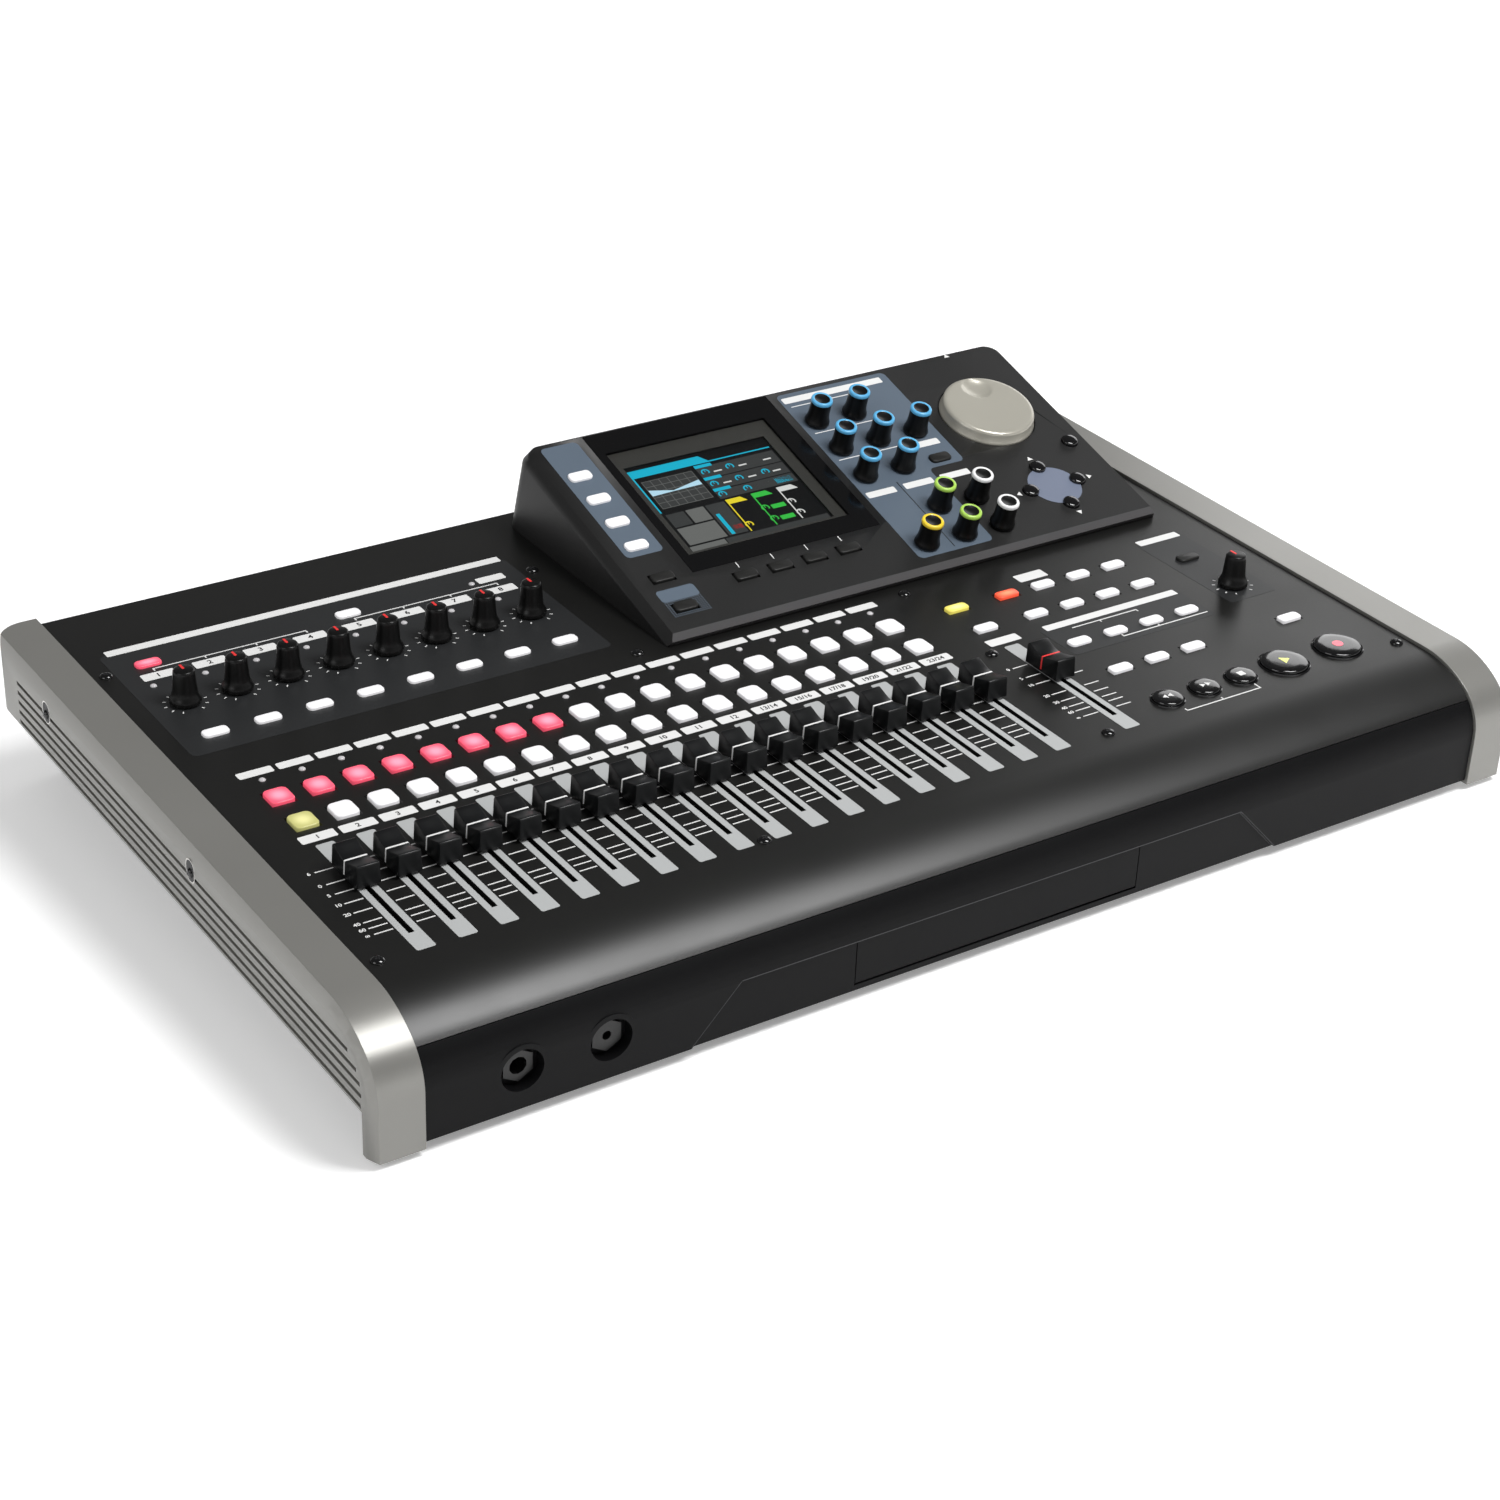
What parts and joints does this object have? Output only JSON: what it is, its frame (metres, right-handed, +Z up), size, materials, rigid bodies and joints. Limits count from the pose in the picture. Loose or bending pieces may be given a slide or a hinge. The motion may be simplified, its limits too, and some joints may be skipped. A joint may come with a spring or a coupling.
{
  "type": "digital_multitrack_recorder",
  "caption": "Desktop digital multitrack recorder with channel faders, lit keys, a raised colour display, encoders and a jog wheel",
  "frame": {"origin": "on the table under the middle of the recorder's overall box", "axes": "X to the right seen from the front, Y from the front to the back, Z up; metres"},
  "size_m": [0.514, 0.3327, 0.1103],
  "materials": {
    "panel_black": "satin",
    "chassis_black": "satin",
    "end_grey": "satin",
    "fascia_black": "satin",
    "housing_grey": "satin",
    "window_clear": "polished",
    "board_green": "satin",
    "unit_steel": "brushed",
    "socket_black": "satin",
    "foot_rubber": "matte",
    "door_grey": "satin",
    "switch_black": "gloss",
    "key_white": "satin",
    "key_dark": "satin",
    "key_gloss": "gloss",
    "wheel_silver": "satin",
    "knob_black": "satin",
    "cap_black": "satin"
  },
  "bodies": {
    "case": {"top_panel": "panel_black", "bottom_chassis": "chassis_black", "left_end_panel": "end_grey", "right_end_panel": "end_grey", "front_fascia": "fascia_black", "display_housing": "housing_grey", "screen_window": "window_clear", "circuit_boards": "board_green", "fader_units": "unit_steel", "input_sockets": "socket_black", "line_sockets": "socket_black", "feet": "foot_rubber"},
    "fader_01_body": {"fader_01": "cap_black"},
    "fader_02_body": {"fader_02": "cap_black"},
    "fader_03_body": {"fader_03": "cap_black"},
    "fader_04_body": {"fader_04": "cap_black"},
    "fader_05_body": {"fader_05": "cap_black"},
    "fader_06_body": {"fader_06": "cap_black"},
    "fader_07_body": {"fader_07": "cap_black"},
    "fader_08_body": {"fader_08": "cap_black"},
    "fader_09_body": {"fader_09": "cap_black"},
    "fader_10_body": {"fader_10": "cap_black"},
    "fader_11_body": {"fader_11": "cap_black"},
    "fader_12_body": {"fader_12": "cap_black"},
    "fader_13_body": {"fader_13": "cap_black"},
    "fader_14_body": {"fader_14": "cap_black"},
    "fader_15_body": {"fader_15": "cap_black"},
    "fader_16_body": {"fader_16": "cap_black"},
    "fader_17_body": {"fader_17": "cap_black"},
    "fader_18_body": {"fader_18": "cap_black"},
    "fader_master_body": {"fader_master": "cap_black"},
    "trim_knob_1_body": {"trim_knob_1": "knob_black"},
    "trim_knob_2_body": {"trim_knob_2": "knob_black"},
    "trim_knob_3_body": {"trim_knob_3": "knob_black"},
    "trim_knob_4_body": {"trim_knob_4": "knob_black"},
    "trim_knob_5_body": {"trim_knob_5": "knob_black"},
    "trim_knob_6_body": {"trim_knob_6": "knob_black"},
    "trim_knob_7_body": {"trim_knob_7": "knob_black"},
    "trim_knob_8_body": {"trim_knob_8": "knob_black"},
    "monitor_knob_body": {"monitor_knob": "knob_black"},
    "encoder_knob_01_body": {"encoder_knob_01": "knob_black"},
    "encoder_knob_02_body": {"encoder_knob_02": "knob_black"},
    "encoder_knob_03_body": {"encoder_knob_03": "knob_black"},
    "encoder_knob_04_body": {"encoder_knob_04": "knob_black"},
    "encoder_knob_05_body": {"encoder_knob_05": "knob_black"},
    "encoder_knob_06_body": {"encoder_knob_06": "knob_black"},
    "encoder_knob_07_body": {"encoder_knob_07": "knob_black"},
    "encoder_knob_08_body": {"encoder_knob_08": "knob_black"},
    "encoder_knob_09_body": {"encoder_knob_09": "knob_black"},
    "encoder_knob_10_body": {"encoder_knob_10": "knob_black"},
    "encoder_knob_11_body": {"encoder_knob_11": "knob_black"},
    "encoder_knob_12_body": {"encoder_knob_12": "knob_black"},
    "jog_wheel_body": {"jog_wheel": "wheel_silver"},
    "track_buttons_body": {"track_buttons": "key_white"},
    "panel_buttons_body": {"panel_buttons": "key_white"},
    "transport_buttons_body": {"transport_buttons": "key_gloss"},
    "screen_buttons_body": {"screen_buttons": "key_dark"},
    "cursor_buttons_body": {"cursor_buttons": "key_gloss"},
    "card_door_body": {"card_door": "door_grey"},
    "power_switch_body": {"power_switch": "switch_black"}
  },
  "joints": [
    {"name": "fader_01_joint", "type": "slide", "parent": "case", "child": "fader_01_body", "axis": [0, 0.9986, 0.0523], "range_m": [-0.0359, 0.0091]},
    {"name": "fader_02_joint", "type": "slide", "parent": "case", "child": "fader_02_body", "axis": [0, 0.9986, 0.0523], "range_m": [-0.0359, 0.0091]},
    {"name": "fader_03_joint", "type": "slide", "parent": "case", "child": "fader_03_body", "axis": [0, 0.9986, 0.0523], "range_m": [-0.0359, 0.0091]},
    {"name": "fader_04_joint", "type": "slide", "parent": "case", "child": "fader_04_body", "axis": [0, 0.9986, 0.0523], "range_m": [-0.0359, 0.0091]},
    {"name": "fader_05_joint", "type": "slide", "parent": "case", "child": "fader_05_body", "axis": [0, 0.9986, 0.0523], "range_m": [-0.0359, 0.0091]},
    {"name": "fader_06_joint", "type": "slide", "parent": "case", "child": "fader_06_body", "axis": [0, 0.9986, 0.0523], "range_m": [-0.0359, 0.0091]},
    {"name": "fader_07_joint", "type": "slide", "parent": "case", "child": "fader_07_body", "axis": [0, 0.9986, 0.0523], "range_m": [-0.0359, 0.0091]},
    {"name": "fader_08_joint", "type": "slide", "parent": "case", "child": "fader_08_body", "axis": [0, 0.9986, 0.0523], "range_m": [-0.0359, 0.0091]},
    {"name": "fader_09_joint", "type": "slide", "parent": "case", "child": "fader_09_body", "axis": [0, 0.9986, 0.0523], "range_m": [-0.0359, 0.0091]},
    {"name": "fader_10_joint", "type": "slide", "parent": "case", "child": "fader_10_body", "axis": [0, 0.9986, 0.0523], "range_m": [-0.0359, 0.0091]},
    {"name": "fader_11_joint", "type": "slide", "parent": "case", "child": "fader_11_body", "axis": [0, 0.9986, 0.0523], "range_m": [-0.0359, 0.0091]},
    {"name": "fader_12_joint", "type": "slide", "parent": "case", "child": "fader_12_body", "axis": [0, 0.9986, 0.0523], "range_m": [-0.0359, 0.0091]},
    {"name": "fader_13_joint", "type": "slide", "parent": "case", "child": "fader_13_body", "axis": [0, 0.9986, 0.0523], "range_m": [-0.0359, 0.0091]},
    {"name": "fader_14_joint", "type": "slide", "parent": "case", "child": "fader_14_body", "axis": [0, 0.9986, 0.0523], "range_m": [-0.0359, 0.0091]},
    {"name": "fader_15_joint", "type": "slide", "parent": "case", "child": "fader_15_body", "axis": [0, 0.9986, 0.0523], "range_m": [-0.0359, 0.0091]},
    {"name": "fader_16_joint", "type": "slide", "parent": "case", "child": "fader_16_body", "axis": [0, 0.9986, 0.0523], "range_m": [-0.0359, 0.0091]},
    {"name": "fader_17_joint", "type": "slide", "parent": "case", "child": "fader_17_body", "axis": [0, 0.9986, 0.0523], "range_m": [-0.0359, 0.0091]},
    {"name": "fader_18_joint", "type": "slide", "parent": "case", "child": "fader_18_body", "axis": [0, 0.9986, 0.0523], "range_m": [-0.0359, 0.0091]},
    {"name": "fader_master_joint", "type": "slide", "parent": "case", "child": "fader_master_body", "axis": [0, 0.9986, 0.0523], "range_m": [-0.0359, 0.0091]},
    {"name": "trim_knob_1_joint", "type": "hinge", "parent": "case", "child": "trim_knob_1_body", "pos_m": [-0.214, 0.06987, 0.06164], "axis": [0, -0.0523, 0.9986], "range_deg": [-150, 150]},
    {"name": "trim_knob_2_joint", "type": "hinge", "parent": "case", "child": "trim_knob_2_body", "pos_m": [-0.1924, 0.06987, 0.06164], "axis": [0, -0.0523, 0.9986], "range_deg": [-150, 150]},
    {"name": "trim_knob_3_joint", "type": "hinge", "parent": "case", "child": "trim_knob_3_body", "pos_m": [-0.1708, 0.06987, 0.06164], "axis": [0, -0.0523, 0.9986], "range_deg": [-150, 150]},
    {"name": "trim_knob_4_joint", "type": "hinge", "parent": "case", "child": "trim_knob_4_body", "pos_m": [-0.1492, 0.06987, 0.06164], "axis": [0, -0.0523, 0.9986], "range_deg": [-150, 150]},
    {"name": "trim_knob_5_joint", "type": "hinge", "parent": "case", "child": "trim_knob_5_body", "pos_m": [-0.1276, 0.06987, 0.06164], "axis": [0, -0.0523, 0.9986], "range_deg": [-150, 150]},
    {"name": "trim_knob_6_joint", "type": "hinge", "parent": "case", "child": "trim_knob_6_body", "pos_m": [-0.106, 0.06987, 0.06164], "axis": [0, -0.0523, 0.9986], "range_deg": [-150, 150]},
    {"name": "trim_knob_7_joint", "type": "hinge", "parent": "case", "child": "trim_knob_7_body", "pos_m": [-0.0844, 0.06987, 0.06164], "axis": [0, -0.0523, 0.9986], "range_deg": [-150, 150]},
    {"name": "trim_knob_8_joint", "type": "hinge", "parent": "case", "child": "trim_knob_8_body", "pos_m": [-0.0628, 0.06987, 0.06164], "axis": [0, -0.0523, 0.9986], "range_deg": [-150, 150]},
    {"name": "monitor_knob_joint", "type": "hinge", "parent": "case", "child": "monitor_knob_body", "pos_m": [0.2075, -0.05066, 0.05532], "axis": [0, -0.0523, 0.9986], "range_deg": [-150, 150]},
    {"name": "encoder_knob_01_joint", "type": "hinge", "parent": "case", "child": "encoder_knob_01_body", "pos_m": [0.106, 0.11241, 0.096], "axis": [0, -0.3173, 0.9483], "continuous": true},
    {"name": "encoder_knob_02_joint", "type": "hinge", "parent": "case", "child": "encoder_knob_02_body", "pos_m": [0.126, 0.11241, 0.096], "axis": [0, -0.3173, 0.9483], "continuous": true},
    {"name": "encoder_knob_03_joint", "type": "hinge", "parent": "case", "child": "encoder_knob_03_body", "pos_m": [0.106, 0.09369, 0.08974], "axis": [0, -0.3173, 0.9483], "continuous": true},
    {"name": "encoder_knob_04_joint", "type": "hinge", "parent": "case", "child": "encoder_knob_04_body", "pos_m": [0.126, 0.09369, 0.08974], "axis": [0, -0.3173, 0.9483], "continuous": true},
    {"name": "encoder_knob_05_joint", "type": "hinge", "parent": "case", "child": "encoder_knob_05_body", "pos_m": [0.146, 0.09369, 0.08974], "axis": [0, -0.3173, 0.9483], "continuous": true},
    {"name": "encoder_knob_06_joint", "type": "hinge", "parent": "case", "child": "encoder_knob_06_body", "pos_m": [0.106, 0.07496, 0.08347], "axis": [0, -0.3173, 0.9483], "continuous": true},
    {"name": "encoder_knob_07_joint", "type": "hinge", "parent": "case", "child": "encoder_knob_07_body", "pos_m": [0.126, 0.07496, 0.08347], "axis": [0, -0.3173, 0.9483], "continuous": true},
    {"name": "encoder_knob_08_joint", "type": "hinge", "parent": "case", "child": "encoder_knob_08_body", "pos_m": [0.126, 0.04793, 0.07443], "axis": [0, -0.3173, 0.9483], "continuous": true},
    {"name": "encoder_knob_09_joint", "type": "hinge", "parent": "case", "child": "encoder_knob_09_body", "pos_m": [0.146, 0.04793, 0.07443], "axis": [0, -0.3173, 0.9483], "continuous": true},
    {"name": "encoder_knob_10_joint", "type": "hinge", "parent": "case", "child": "encoder_knob_10_body", "pos_m": [0.106, 0.02944, 0.06824], "axis": [0, -0.3173, 0.9483], "continuous": true},
    {"name": "encoder_knob_11_joint", "type": "hinge", "parent": "case", "child": "encoder_knob_11_body", "pos_m": [0.126, 0.02944, 0.06824], "axis": [0, -0.3173, 0.9483], "continuous": true},
    {"name": "encoder_knob_12_joint", "type": "hinge", "parent": "case", "child": "encoder_knob_12_body", "pos_m": [0.146, 0.02944, 0.06824], "axis": [0, -0.3173, 0.9483], "continuous": true},
    {"name": "jog_wheel_joint", "type": "hinge", "parent": "case", "child": "jog_wheel_body", "pos_m": [0.1855, 0.09345, 0.08966], "axis": [0, -0.3173, 0.9483], "continuous": true},
    {"name": "track_buttons_joint", "type": "slide", "parent": "case", "child": "track_buttons_body", "axis": [0, 0.0523, -0.9986], "range_m": [0, 0.0008], "stiffness_N_per_m": 600, "springref_m": -0.001},
    {"name": "panel_buttons_joint", "type": "slide", "parent": "case", "child": "panel_buttons_body", "axis": [0, 0.0523, -0.9986], "range_m": [0, 0.0008], "stiffness_N_per_m": 600, "springref_m": -0.001},
    {"name": "transport_buttons_joint", "type": "slide", "parent": "case", "child": "transport_buttons_body", "axis": [0, 0.0523, -0.9986], "range_m": [0, 0.0008], "stiffness_N_per_m": 600, "springref_m": -0.001},
    {"name": "screen_buttons_joint", "type": "slide", "parent": "case", "child": "screen_buttons_body", "axis": [0, 0.3173, -0.9483], "range_m": [0, 0.0008], "stiffness_N_per_m": 600, "springref_m": -0.001},
    {"name": "cursor_buttons_joint", "type": "slide", "parent": "case", "child": "cursor_buttons_body", "axis": [0, 0.3173, -0.9483], "range_m": [0, 0.0008], "stiffness_N_per_m": 600, "springref_m": -0.001},
    {"name": "card_door_joint", "type": "hinge", "parent": "case", "child": "card_door_body", "pos_m": [0, -0.16225, 0.00832], "axis": [1, 0, 0], "range_deg": [0, 90]},
    {"name": "power_switch_joint", "type": "hinge", "parent": "case", "child": "power_switch_body", "pos_m": [0.1813, 0.15435, 0.033], "axis": [1, 0, 0], "range_deg": [-14, 0]}
  ]
}
